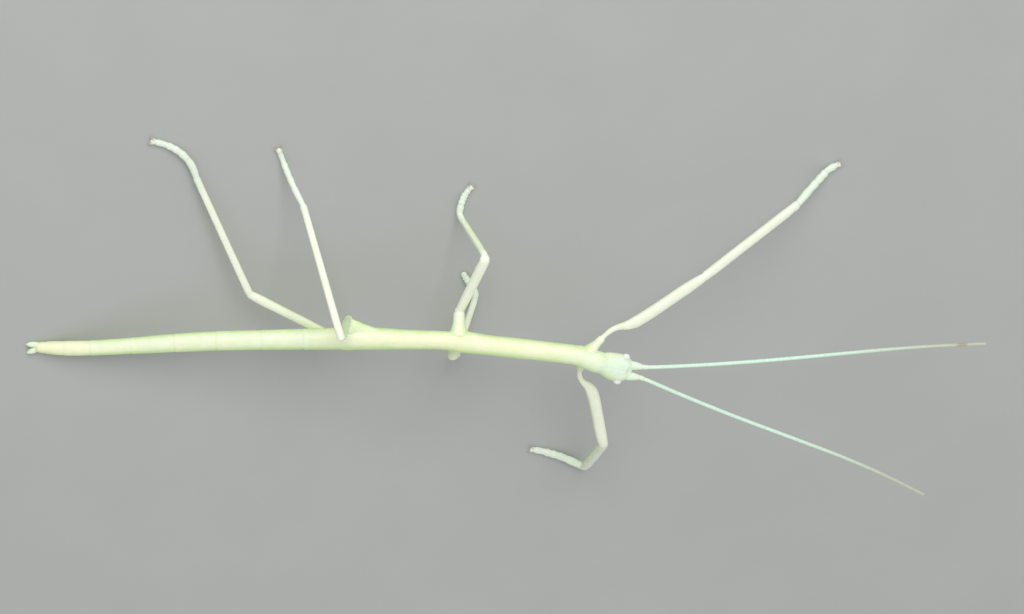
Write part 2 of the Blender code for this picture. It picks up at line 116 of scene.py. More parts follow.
# The hips' lobes: distance from the tail, side, how far they swell outwards and down, and their reach
HIP_LOBES = (
    (46.3, 1, 0.30, 0.05, 5.5), (44.3, 1, 0.55, 0.0, 1.7),
    (46.3, -1, 0.25, 0.05, 5.0), (44.3, -1, 0.35, 0.1, 1.8),
    (60.2, 1, 0.28, 0.10, 3.2), (60.2, -1, 0.28, 0.10, 3.0),
    (77.0, 1, 0.16, 0.08, 1.8), (77.0, -1, 0.16, 0.08, 1.8), (79.7, 1, 0.24, 0.0, 1.7),
)
LOBE_ANGLE = math.radians(-22.5)
# How much of the head's colour the neck has, and how far behind it that begins
NECK_TINT = 0.7
NECK_TINT_REACH = 9.0

cuticle_parts = []
cuticle_records = []


def node_corners(node):
    """Corners of a node of the frame, in millimetres."""
    mesh = frame["nodes"][node].data
    corners = np.empty(len(mesh.vertices) * 3)
    mesh.vertices.foreach_get("co", corners)
    return corners.reshape(-1, 3) / MM


def trace(node, start, shares, roll=0.0):
    """Follows a node from its end nearest a start: rows of middle, half width and half depth."""
    corners = node_corners(node)
    mesh = frame["nodes"][node].data
    edges = np.empty(len(mesh.edges) * 2, int)
    mesh.edges.foreach_get("vertices", edges)
    edges = edges.reshape(-1, 2)
    middle = (corners.min(axis=0) + corners.max(axis=0)) / 2
    axis = np.linalg.svd(corners - corners.mean(axis=0))[2][0]
    if (middle - np.array(start)) @ axis < 0:
        axis = -axis
    reach = (corners - middle) @ axis
    level_side = np.cross((0.0, 0.0, 1.0), axis)
    level_side /= np.linalg.norm(level_side)
    level_up = np.cross(axis, level_side)
    side = level_side * math.cos(roll) - level_up * math.sin(roll)
    up = level_up * math.cos(roll) + level_side * math.sin(roll)
    rows = []
    for share in shares:
        level = reach.min() + np.ptp(reach) * share
        ends = (reach - level)[edges]
        crossed = ends[:, 0] * ends[:, 1] < 0
        part = ends[crossed, 0] / (ends[crossed, 0] - ends[crossed, 1])
        first, last = corners[edges[crossed]].transpose(1, 0, 2)
        cut = first + (last - first) * part[:, None] - middle
        across, above = cut @ side, cut @ up
        centre = middle + axis * level
        centre += side * (across.max() + across.min()) / 2 + up * (above.max() + above.min()) / 2
        rows.append((Vector(centre), np.ptp(across) / 2, np.ptp(above) / 2))
    return rows


def distances(points):
    """How far along a row of points each one lies."""
    steps = [(front - rear).length for rear, front in zip(points, points[1:])]
    return np.concatenate([[0.0], np.cumsum(steps)])


def draw_tube(name, stations, turns):
    """Draws a straight tube along +X: a circle, extruded from station to station and sized at each, closed
    at both ends. A station is its place, half width, half depth and lift."""
    bpy.ops.object.select_all(action="DESELECT")
    bpy.ops.mesh.primitive_circle_add(vertices=turns, radius=1.0, rotation=(0.0, math.radians(90.0), 0.0))
    tube = bpy.context.object
    tube.name = name
    bpy.ops.object.transform_apply(location=False, rotation=True, scale=False)
    bpy.ops.object.mode_set(mode="EDIT")
    bpy.ops.mesh.select_all(action="SELECT")
    place, wide, deep, lift = stations[0]
    bpy.ops.transform.resize(value=(1.0, wide, deep), center_override=(0.0, 0.0, 0.0))
    bpy.ops.transform.translate(value=(place, 0.0, lift))
    for rear, front in zip(stations, stations[1:]):
        step = (front[0] - rear[0], 0.0, front[3] - rear[3])
        bpy.ops.mesh.extrude_edges_move(TRANSFORM_OT_translate={"value": step})
        stretch = (1.0, front[1] / rear[1], front[2] / rear[2])
        bpy.ops.transform.resize(value=stretch, center_override=(front[0], 0.0, front[3]))
    bpy.ops.mesh.select_all(action="SELECT")
    bpy.ops.mesh.fill_holes(sides=0)
    bpy.ops.mesh.normals_make_consistent(inside=False)
    bpy.ops.object.mode_set(mode="OBJECT")
    return tube


def choose(piece):
    """Makes a piece the only one that is selected."""
    bpy.ops.object.select_all(action="DESELECT")
    piece.select_set(True)
    bpy.context.view_layer.objects.active = piece


def pick(piece, test):
    """Opens a piece for editing with the corners selected that pass a test on their place."""
    choose(piece)
    bpy.ops.object.mode_set(mode="EDIT")
    bpy.ops.mesh.select_mode(type="VERT")
    bpy.ops.mesh.select_all(action="DESELECT")
    bpy.ops.object.mode_set(mode="OBJECT")
    for corner in piece.data.vertices:
        corner.select = test(corner.co)
    bpy.ops.object.mode_set(mode="EDIT")


def squash_where(piece, test, shares, centre=(0.0, 0.0, 0.0)):
    """Sizes the corners that pass a test, towards a centre."""
    pick(piece, test)
    bpy.ops.transform.resize(value=shares, center_override=centre)
    bpy.ops.object.mode_set(mode="OBJECT")


def swell_where(piece, test, height):
    """Moves the corners that pass a test straight out of the surface."""
    pick(piece, test)
    bpy.ops.transform.shrink_fatten(value=height)
    bpy.ops.object.mode_set(mode="OBJECT")


def shift_where(piece, test, push):
    """Moves the corners that pass a test by a push."""
    pick(piece, test)
    bpy.ops.transform.translate(value=push)
    bpy.ops.object.mode_set(mode="OBJECT")


def unrolled(piece, stations):
    """Corners of a straight tube, each with its distance along it in millimetres and its place across and up
    as shares of the tube's half width and half depth."""
    rows = place_of(piece)
    places, wide, deep, lift = np.array(stations).T
    rows[:, 1] /= np.interp(rows[:, 0], places, wide)
    rows[:, 2] = (rows[:, 2] - np.interp(rows[:, 0], places, lift)) / np.interp(rows[:, 0], places, deep)
    return rows


def pick_keels(tube, stations, angles, first, last, slack=7.0):
    """Picks lengthwise rows of a straight tube's corners, at angles round it, between two places."""
    rows = unrolled(tube, stations)
    turned = np.degrees(np.arctan2(rows[:, 2], rows[:, 1]))
    chosen = np.zeros(len(rows), bool)
    for angle in angles:
        chosen |= abs((turned - angle + 180.0) % 360.0 - 180.0) < slack
    chosen &= (rows[:, 0] > first) & (rows[:, 0] < last)
    flags = iter(chosen.tolist())
    pick(tube, lambda corner: next(flags))


def pull(piece, place, push, reach):
    """Pulls the surface nearest a place by a push, and what lies within a reach with it."""
    place = Vector(place)
    nearest = min(piece.data.vertices, key=lambda corner: (corner.co - place).length).co.copy()
    pick(piece, lambda corner: (corner - nearest).length < 0.001)
    bpy.ops.transform.translate(
        value=push, use_proportional_edit=True, proportional_edit_falloff="SMOOTH", proportional_size=reach
    )
    bpy.ops.object.mode_set(mode="OBJECT")


def apply_modifier(piece, kind, **settings):
    """Adds one modifier to a piece and applies it."""
    choose(piece)
    bpy.ops.object.modifier_add(type=kind)
    modifier = piece.modifiers[-1]
    for setting, value in settings.items():
        setattr(modifier, setting, value)
    bpy.ops.object.modifier_apply(modifier=modifier.name)


def turn(piece, turning):
    """Turns and moves a piece by a matrix and applies that to its mesh."""
    choose(piece)
    piece.matrix_world = turning
    bpy.ops.object.transform_apply(location=True, rotation=True, scale=True)


def bend_along(piece, points):
    """Bends a straight piece, which lies along +X, along a row of points."""
    line = bpy.data.curves.new(piece.name + "_line", "CURVE")
    line.dimensions = "3D"
    line.twist_mode = "Z_UP"
    line.resolution_u = 16
    spline = line.splines.new("NURBS")
    spline.points.add(len(points) - 1)
    for corner, point in zip(spline.points, points):
        corner.co = (*point, 1.0)
    spline.order_u = 3
    spline.use_endpoint_u = True
    guide = bpy.data.objects.new(line.name, line)
    bpy.context.scene.collection.objects.link(guide)
    apply_modifier(piece, "CURVE", object=guide, deform_axis="POS_X")
    bpy.data.objects.remove(guide)


def place_of(piece):
    """Corners of a piece, as rows."""
    corners = np.empty(len(piece.data.vertices) * 3)
    piece.data.vertices.foreach_get("co", corners)
    return corners.reshape(-1, 3)


def keep_cuticle(piece, straight, leg=0.0, foot=0.0, head=0.0):
    """Puts a finished part by for the skin, with what its colours need: each corner's place while the part
    was still straight, and how much it belongs to a leg, a foot or the head."""
    kind = np.empty((len(straight), 3))
    kind[:, 0], kind[:, 1], kind[:, 2] = leg, foot, head
    cuticle_parts.append(piece)
    cuticle_records.append((place_of(piece), straight, kind))


def meeting(first_node, second_node, nearness=0.75):
    """Middle of the thin cut where two nodes face each other."""
    first, second = (np.unique(node_corners(node), axis=0) for node in (first_node, second_node))
    near = np.linalg.norm(first[:, None] - second[None, :], axis=2) < nearness
    return Vector((first[near.any(axis=1)].mean(axis=0) + second[near.any(axis=0)].mean(axis=0)) / 2)


def filled_in(marks, gap):
    """Marked places along a tube, with more of them between two that lie further apart than a gap."""
    marked = sorted(marks)
    places = list(marked)
    for rear, front in zip(marked, marked[1:]):
        extra = int((front - rear) / gap)
        places += [rear + (front - rear) * step / (extra + 1) for step in range(1, extra + 1)]
    return sorted(places)


def swell_at(place, marks):
    """The girth at a place, from the marked ones on either side of it."""
    marked = sorted(marks)
    return np.interp(place, marked, [marks[mark] for mark in marked])


# Middle line and girth of the trunk; the hips are left out of its girth
tail_low, tail_high = (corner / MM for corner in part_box("abdomen_10"))
trunk_line = [Vector((tail_low.x, (tail_low.y + tail_high.y) / 2, TAIL_HEIGHT))]
trunk_girth = [TAIL_GIRTH]
trunk_joints = []
for rear_node, node in zip(["abdomen_10"] + TRUNK_NODES, TRUNK_NODES):
    trunk_joints.append(len(trunk_line))
    trunk_line.append(meeting(rear_node, node))
    trunk_girth.append(None)
    shares = THORAX_SHARES if node in ("metathorax", "mesothorax") else RING_SHARES
    for middle, wide, deep in trace(node, trunk_line[-1], shares, BODY_ROLL):
        trunk_line.append(middle)
        trunk_girth.append((wide, deep))
trunk_line.append(meeting("prothorax", "head", 1.0))
trunk_girth.append(NECK_GIRTH)
for index in trunk_joints:
    rear, span = trunk_line[index - 1], trunk_line[index + 1] - trunk_line[index - 1]
    trunk_line[index] = rear + span * ((trunk_line[index] - rear).dot(span) / span.length_squared)
trunk_places = distances(trunk_line)
trunk_length = trunk_places[-1]
folds = [trunk_places[index] for index in trunk_joints]
measured = [index for index, girth in enumerate(trunk_girth) if girth]
measured_places = trunk_places[measured]
half_widths, half_depths = np.array([trunk_girth[index] for index in measured]).T

trunk_marks = {place: girth for place, girth in TAIL_END}
trunk_marks.update({trunk_length + place: girth for place, girth in NECK_END})
for number, fold in enumerate(folds):
    depth = 1.0 if number < RING_FOLDS else THORAX_FOLD
    for place, girth in FOLD:
        if fold + place > TAIL_END[-1][0]:
            trunk_marks[fold + place] = 1.0 + (girth - 1.0) * depth
trunk_stations = []
for place in filled_in(trunk_marks, STATION_GAP):
    swell = swell_at(place, trunk_marks)
    wide = np.interp(place, measured_places, half_widths) * swell
    deep = np.interp(place, measured_places, half_depths) * swell
    trunk_stations.append((place, wide, deep * 2 / (1 + BELLY_FLATNESS), 0.0))

trunk = draw_tube("trunk", trunk_stations, TRUNK_TURNS)
squash_where(trunk, lambda corner: corner.z < -0.001, (1.0, 1.0, BELLY_FLATNESS))
pick_keels(trunk, trunk_stations, SEAM_ANGLES, SEAM_START, folds[RING_FOLDS] - 1.0)
bpy.ops.transform.shrink_fatten(value=-SEAM_DEPTH)
bpy.ops.object.mode_set(mode="OBJECT")
for along, sign, out, down, reach in HIP_LOBES:
    half_width = np.interp(along, measured_places, half_widths)
    flank = Vector((along, sign * half_width * math.cos(LOBE_ANGLE), half_width * math.sin(LOBE_ANGLE)))
    pull(trunk, flank, (0.0, sign * out, -down), reach)
apply_modifier(trunk, "SUBSURF", levels=1, render_levels=1)
straight_trunk = unrolled(trunk, trunk_stations)
turn(trunk, Matrix.Rotation(-BODY_ROLL, 4, "X"))
bend_along(trunk, trunk_line)
neck_share = np.clip((straight_trunk[:, 0] - trunk_length) / NECK_TINT_REACH + 1.0, 0.0, 1.0)
keep_cuticle(trunk, straight_trunk, head=NECK_TINT * neck_share)

# Tail feelers: two short pointed cerci at the end of the abdomen, leaf-shaped and a little apart. They are
# part of the same cuticle and rest beside the tip of the abdomen.
SIDES = {"left": 1, "right": -1}
CERCUS_SHAPE = (
    (-1.5, 0.30), (-1.0, 0.40), (-0.5, 0.46), (-0.2, 0.465), (0.04, 0.45), (0.25, 0.40), (0.45, 0.31),
    (0.61, 0.21), (0.74, 0.12), (0.79, 0.04),
)
CERCUS_FLATNESS = 0.85
CERCUS_TURNS = 12
# How far each one is moved sideways, and turned outwards in degrees
CERCUS_SPREAD = {"left": (0.0, 0.0), "right": (-0.15, 22.0)}
# The height on the back that they take their colour from
CERCUS_LAY = 0.9


def draw_soft_tube(name, stations, turns):
    """Draws a straight tube and rounds it; gives it with its corners' places while it is straight."""
    tube = draw_tube(name, stations, turns)
    apply_modifier(tube, "SUBSURF", levels=1, render_levels=1)
    return tube, unrolled(tube, stations)


for side in SIDES:
    node = "cercus_" + side
    (base, _, _), (tip, _, _) = trace(node, trunk_line[1], (0.1, 0.9))
    axis = (tip - base).normalized()
    aside, spread = CERCUS_SPREAD[side]
    base.y += aside
    axis.rotate(Matrix.Rotation(math.radians(spread), 3, "Z"))
    stations = [(place, wide, wide * CERCUS_FLATNESS, 0.0) for place, wide in CERCUS_SHAPE]
    cercus, straight = draw_soft_tube(node + "_tube", stations, CERCUS_TURNS)
    bend_along(cercus, [base, base + axis, base + axis * 2])
    straight[:, 2] = CERCUS_LAY
    keep_cuticle(cercus, straight, head=np.clip(1.0 + straight[:, 0], 0.0, 1.0))

# Head: a smooth oval capsule, flat on top, wider at the eyes, with a soft neck behind, a fine groove along
# its crown, a low rim round each eye and feeler socket, and the feelers' short first joints. It is drawn
# along its own axis, shaped, then turned to where the head looks.
HEAD_HEADING = math.radians(-22.0)
HEAD_RISE = math.radians(-1.0)
EYE_AHEAD = 3.22
EYE_ABOVE = 0.32
EYE_ASIDE = 1.82
# Place along the head, half width, half height and how far the middle sinks
HEAD_STATIONS = (
    (-0.60, 1.30, 1.14, 0.0), (-0.25, 1.38, 1.21, 0.0), (0.0, 1.44, 1.25, 0.0), (0.30, 1.54, 1.31, 0.0),
    (0.70, 1.68, 1.36, 0.0), (1.20, 1.82, 1.41, -0.01), (1.70, 1.92, 1.45, -0.03), (2.20, 2.0, 1.47, -0.05),
    (2.70, 2.04, 1.48, -0.07), (3.20, 2.03, 1.46, -0.08), (3.65, 1.94, 1.40, -0.11),
    (4.05, 1.78, 1.30, -0.15), (4.40, 1.54, 1.14, -0.19), (4.65, 1.25, 0.94, -0.23),
    (4.82, 0.92, 0.72, -0.26), (4.92, 0.48, 0.40, -0.28),
)
HEAD_TURNS = 24
CROWN_FLATNESS = 0.93
# Bulges and hollows: the place, the pull and how far round it that reaches; the cheek and brow are paired
NECK_BULGE = ((0.3, 1.5, 0.0), (0.0, 0.22, 0.0), 1.6)
FACE_HOLLOW = ((4.15, 0.0, 1.0), (-0.05, 0.0, -0.20), 0.75)
CHEEK = ((1.7, 1.95, -0.2), (0.0, 0.06, 0.0), 1.3)
BROW = ((3.65, 1.15, 1.1), (0.0, 0.0, 0.10), 0.7)
GROOVE_DEPTH = 0.08
# Rims: inner and outer radius, and height
EYE_RIM = (0.50, 0.78, 0.06)
SOCKET_RIM = (0.48, 0.76, 0.04)
EYE_SEAT_DEPTH = 0.03
HEAD_TINT_REACH = 5.0
FEELER_SOCKET = (4.30, 0.83, 0.22)
SCAPE_ROLL = math.radians(18.0)
SCAPE_TURNS = 16
SCAPE = (
    (-0.90, 0.46, 0.42, 0.0), (-0.40, 0.58, 0.50, 0.0), (0.10, 0.66, 0.55, 0.0), (0.50, 0.66, 0.55, 0.0),
    (0.90, 0.61, 0.52, 0.0), (1.30, 0.53, 0.47, 0.0), (1.65, 0.46, 0.42, 0.0), (1.84, 0.425, 0.39, 0.0),
    (1.92, 0.36, 0.34, 0.0), (1.96, 0.20, 0.19, 0.0),
)

eyes = [sum((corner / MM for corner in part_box("eye_" + side)), Vector()) / 2 for side in SIDES]
head_left = (eyes[0] - eyes[1]).normalized()
head_forward = Vector((
    math.cos(HEAD_RISE) * math.cos(HEAD_HEADING),
    math.cos(HEAD_RISE) * math.sin(HEAD_HEADING),
    math.sin(HEAD_RISE),
))
head_up = head_forward.cross(head_left).normalized()
head_base = (eyes[0] + eyes[1]) / 2 - head_forward * EYE_AHEAD - head_up * EYE_ABOVE
head_place = Matrix.Translation(head_base) @ Matrix((head_forward, head_left, head_up)).transposed().to_4x4()


def on_side(point, sign):
    """A point or push in the head's own frame, on its left or right side."""
    ahead, aside, above = point
    return Vector((ahead, aside * sign, above))


head = draw_tube("head_capsule", HEAD_STATIONS, HEAD_TURNS)
squash_where(head, lambda corner: corner.z > 0.001, (1.0, 1.0, CROWN_FLATNESS))
apply_modifier(head, "SUBSURF", levels=2, render_levels=2)
straight_head = unrolled(head, HEAD_STATIONS)
pull(head, *NECK_BULGE)
shift_where(head, lambda corner: abs(corner.y) < 0.10 and corner.z > 0.6 and 0.5 < corner.x < 3.4,
            (0.0, 0.0, -GROOVE_DEPTH))
pull(head, *FACE_HOLLOW)
for sign in SIDES.values():
    socket = on_side(FEELER_SOCKET, sign)
    eye_spot = on_side((EYE_AHEAD, EYE_ASIDE, EYE_ABOVE), sign)
    for spot, push, reach in (CHEEK, BROW):
        pull(head, on_side(spot, sign), on_side(push, sign), reach)
    inner, outer, height = EYE_RIM
    swell_where(head, lambda corner: inner < (corner - eye_spot).length < outer, height)
    swell_where(head, lambda corner: (corner - eye_spot).length < inner, -EYE_SEAT_DEPTH)
    inner, outer, height = SOCKET_RIM
    swell_where(head, lambda corner: inner < (corner - socket).yz.length < outer and corner.x > 3.6, height)
pick(head, lambda corner: True)
bpy.ops.mesh.vertices_smooth(factor=0.4, repeat=1)
bpy.ops.object.mode_set(mode="OBJECT")
turn(head, head_place)
head_share = np.clip(NECK_TINT + straight_head[:, 0] / HEAD_TINT_REACH, NECK_TINT, 1.0)
straight_head[:, 0] += trunk_length
keep_cuticle(head, straight_head, head=head_share)

feeler_joints = {}
for side, sign in SIDES.items():
    scape_node = "antenna_scape_" + side
    feeler_joints[side] = meeting(scape_node, "antenna_pedicel_" + side, 0.5)
    socket = head_place @ on_side(FEELER_SOCKET, sign)
    scape, straight = draw_soft_tube(scape_node + "_tube", SCAPE, SCAPE_TURNS)
    turn(scape, Matrix.Rotation(-SCAPE_ROLL, 4, "X"))
    bend_along(scape, [socket, (socket + feeler_joints[side]) / 2, feeler_joints[side]])
    straight[:, 0] += trunk_length + FEELER_SOCKET[0]
    keep_cuticle(scape, straight, head=1.0)

# Mouthparts: the upper lip under the face, notched in front, a jaw on each side of it, the lower lip, and
# two pairs of small jointed palps that reach forwards. All are pale cuticle, drawn in the head's own frame.
LIP_STATIONS = (
    (-0.35, 0.62, 0.30, 0.0), (0.0, 0.78, 0.36, 0.0), (0.30, 0.76, 0.34, 0.0), (0.48, 0.62, 0.27, 0.0),
    (0.56, 0.61, 0.27, 0.0), (0.75, 0.68, 0.28, 0.0), (1.00, 0.62, 0.24, 0.0), (1.16, 0.46, 0.18, 0.0),
    (1.24, 0.22, 0.10, 0.0),
)
JAW_STATIONS = (
    (-0.30, 0.30, 0.34, 0.0), (0.10, 0.40, 0.44, 0.0), (0.55, 0.38, 0.40, 0.0), (0.95, 0.26, 0.30, 0.0),
    (1.15, 0.14, 0.18, 0.0), (1.22, 0.06, 0.08, 0.0),
)
LOWER_LIP_STATIONS = (
    (-0.50, 0.46, 0.24, 0.0), (0.0, 0.66, 0.32, 0.0), (0.55, 0.62, 0.30, 0.0), (0.85, 0.44, 0.22, 0.0),
    (1.0, 0.36, 0.18, 0.0), (1.25, 0.30, 0.15, 0.0), (1.38, 0.14, 0.08, 0.0),
)
LIP_NOTCH = 0.16
MOUTH_TURNS = 16
# Palps: radius, route in the head's frame and number of joints; a joint swells along its length, then closes
PALPS = {
    "maxillary": (0.15, ((3.0, 0.80, -0.95), (3.55, 0.98, -1.34), (4.15, 1.04, -1.52), (4.70, 1.02, -1.58),
                         (5.15, 0.96, -1.62)), 4),
    "labial": (0.12, ((3.3, 0.30, -1.25), (3.80, 0.42, -1.56), (4.25, 0.45, -1.70), (4.65, 0.44, -1.78)), 3),
}
PALP_JOINT = ((0.0, 0.72), (0.22, 0.92), (0.70, 1.06), (0.92, 0.96))
PALP_END = ((0.0, 0.62), (0.3, 0.2))
PALP_TURNS = 8


def mouth_piece(name, stations, place, dip, inward=0.0):
    """One part of the mouth, from a place in the head's frame, dipping down and turned inwards."""
    piece, straight = draw_soft_tube(name, stations, MOUTH_TURNS)
    if name == "upper_lip":
        shift_where(piece, lambda corner: abs(corner.y) < 0.14 and corner.x > 1.0, (-LIP_NOTCH, 0.0, 0.0))
    tilt = Matrix.Rotation(math.radians(dip), 4, "Y")
    turn(piece, head_place @ Matrix.Translation(place) @ Matrix.Rotation(math.radians(inward), 4, "Z") @ tilt)
    keep_cuticle(piece, straight, head=1.0)


def grow_palp(name, radius, route, joints):
    """A jointed palp along a route."""
    length = distances(route)[-1]
    stations = []
    for joint in range(joints):
        for share, swell in PALP_JOINT:
            stations.append((length * (joint + share) / joints, radius * swell, radius * swell, 0.0))
    for ahead, swell in PALP_END:
        stations.append((length + radius * ahead, radius * swell, radius * swell, 0.0))
    palp, straight = draw_soft_tube(name, stations, PALP_TURNS)
    bend_along(palp, route)
    keep_cuticle(palp, straight, head=1.0)


mouth_piece("upper_lip", LIP_STATIONS, (3.86, 0.0, -0.36), 48.0)
mouth_piece("lower_lip", LOWER_LIP_STATIONS, (2.90, 0.0, -1.12), 16.0)
for side, sign in SIDES.items():
    mouth_piece("jaw_" + side, JAW_STATIONS, on_side((3.52, 0.68, -0.66), sign), 44.0, -18.0 * sign)
    for palp_name, (radius, palp_route, joints) in PALPS.items():
        route = [head_place @ on_side(point, sign) for point in palp_route]
        grow_palp(f"{palp_name}_palp_{side}", radius, route, joints)

# Legs: six long thin legs of the same cuticle, each a hip joint, a keeled thigh, a keeled shin and a foot of
# five joints with small pads under them. Each part is a tube that follows its node, and a little of it lies
# inside the joint with the next one.
LEG_TURNS = 16
KEEL_ANGLES = (45.0, 135.0, 225.0, 315.0)
KEEL_HEIGHT = 0.055
KEEL_CREASE = 0.45
LEG_GAP = 0.5
# How each part of a leg begins and ends: distance past its first or last joint, and the girth there
HIP_BASE = ((0.0, 1.45), (0.50, 1.40), (0.90, 1.24), (1.25, 1.10), (1.7, 1.0))
HIP_TIP = ((-0.95, 1.0), (-0.50, 1.02), (-0.18, 1.0), (0.04, 0.86), (0.16, 0.45))
THIGH_BASE = (
    (-0.36, 0.50), (-0.22, 0.84), (0.0, 1.04), (0.30, 1.06), (0.46, 1.0), (0.54, 0.93), (0.68, 0.96),
    (1.1, 1.0),
)
THIGH_TIP = (
    (-1.6, 0.99), (-0.95, 0.94), (-0.45, 0.89), (-0.10, 0.86), (0.14, 0.76), (0.28, 0.52), (0.34, 0.22),
)
HIND_HIP_TIP = ((-0.95, 1.0), (-0.50, 1.02), (-0.15, 1.0), (0.10, 0.90), (0.26, 0.66), (0.34, 0.35))
HIND_THIGH_BASE = ((-0.30, 0.35), (-0.15, 0.55), (0.10, 0.68), (0.50, 0.78), (1.0, 0.88), (1.8, 0.97))
SHIN_BASE = ((-0.26, 0.34), (-0.14, 0.66), (0.08, 0.88), (0.40, 1.0), (0.80, 1.0), (1.3, 0.97))
SHIN_TIP = ((-1.2, 1.0), (-0.55, 1.02), (-0.14, 1.06), (0.08, 0.98), (0.20, 0.64), (0.25, 0.28))
# Where along its node each part's middle line and girth are measured
LIMB_SHARES = (0.10, 0.22, 0.34, 0.46, 0.58, 0.70, 0.82, 0.90)
FORE_THIGH_SHARES = (0.06, 0.12, 0.17, 0.20, 0.235, 0.27, 0.31, 0.36, 0.42, 0.50, 0.60, 0.70, 0.80, 0.90)
HIP_SHARES = (0.30, 0.50, 0.75)
# The flank's long slope up to each hind hip: how far ahead of it, how far out as a share, width and depth
HIP_SLOPE = (
    (7.0, 0.12, 0.45, 0.42), (5.7, 0.19, 0.52, 0.46), (3.1, 0.36, 0.80, 0.54), (1.55, 0.46, 1.04, 0.60),
    (0.6, 0.55, 1.30, 0.62), (-0.1, 0.60, 1.45, 0.62),
)
SLOPE_END = ((0.30, 1.25, 0.50), (0.48, 0.85, 0.28))
# How far aside on the back it takes its colour from
SLOPE_LAY = 0.2
# The foot: the share of its length that each joint takes, the swelling along a joint and along the last one
FOOT_JOINTS = (0.36, 0.18, 0.14, 0.11, 0.21)
FOOT_JOINT = ((0.0, 0.86), (0.10, 0.90), (0.45, 0.96), (0.80, 1.05), (0.95, 1.0))
LAST_JOINT = ((0.0, 0.80), (0.15, 0.82), (0.55, 0.86), (0.85, 0.94))
FOOT_HEEL = (-0.22, 0.42, 0.36)
FOOT_END = ((0.0, 0.80, 0.60), (0.15, 0.34, 0.26))
FOOT_FLATNESS = 0.86
FOOT_TURNS = 12
FOOT_TINT = 0.7
FOOT_SHARES = (0.08, 0.20, 0.35, 0.50, 0.65, 0.78)
TOE_INSET = 1.15
# Pads under the foot's joints: share of the joint, depth and reach
PAD_PLACE = 0.78
PAD_DEPTH = 0.14
PAD_REACH = 0.62
TOE_PAD = (0.50, 0.46, 0.34)
TOE_PAD_AHEAD = 0.34
FLOOR_LIFT = 0.30


def grow_limb(name, start, rows, end, base, tip, leg, foot=0.0, keels=True, along=0.0):
    """A length of leg from one joint through measured rows to the next, its two ends swelling and closing."""
    line = [start] + [middle for middle, _, _ in rows] + [end]
    wides, deeps = ([row[part] for row in rows[:1] + rows + rows[-1:]] for part in (1, 2))
    places = distances(line)
    length = places[-1]
    marks = dict(base)
    marks.update({length + place: girth for place, girth in tip})
    stations = []
    for place in filled_in(marks, LEG_GAP):
        swell = swell_at(place, marks)
        wide, deep = (np.interp(place, places, measured) * swell for measured in (wides, deeps))
        stations.append((place, wide, deep, 0.0))
    limb = draw_tube(name + "_tube", stations, LEG_TURNS)
    if keels:
        pick_keels(limb, stations, KEEL_ANGLES, base[-1][0], length + tip[0][0])
        bpy.ops.transform.shrink_fatten(value=KEEL_HEIGHT)
        bpy.ops.transform.edge_crease(value=KEEL_CREASE)
        bpy.ops.object.mode_set(mode="OBJECT")
    apply_modifier(limb, "SUBSURF", levels=1, render_levels=1)
    straight = unrolled(limb, stations)
    bend_along(limb, line)
    share = np.clip(straight[:, 0] / length, 0.0, 1.0)
    straight[:, 0] += along
    foot_share = np.interp(share, (0.85, 1.0), (0.0, foot))
    keep_cuticle(limb, straight, leg=np.interp(share, (0.0, 1.0), leg), foot=foot_share)


def on_trunk(place):
    """Point of the trunk's middle line at a distance from the tail."""
    return Vector([np.interp(place, trunk_places, coordinates) for coordinates in zip(*trunk_line)])


def grow_hip_slope(side, hip_along, hip_end):
    """The slope of the flank that runs from well ahead of a hind hip up to it."""
    out = hip_end - on_trunk(hip_along)
    out.x = 0.0
    line = [on_trunk(hip_along + ahead) + out * share for ahead, share, _, _ in HIP_SLOPE]
    places = distances(line)
    stations = [(place, wide, deep, 0.0) for place, (_, _, wide, deep) in zip(places, HIP_SLOPE)]
    stations += [(places[-1] + ahead, wide, deep, 0.0) for ahead, wide, deep in SLOPE_END]
    slope, straight = draw_soft_tube("hip_slope_" + side, stations, LEG_TURNS)
    bend_along(slope, line)
    straight[:, 0] = hip_along
    straight[:, 1] = SLOPE_LAY
    keep_cuticle(slope, straight, leg=0.15)


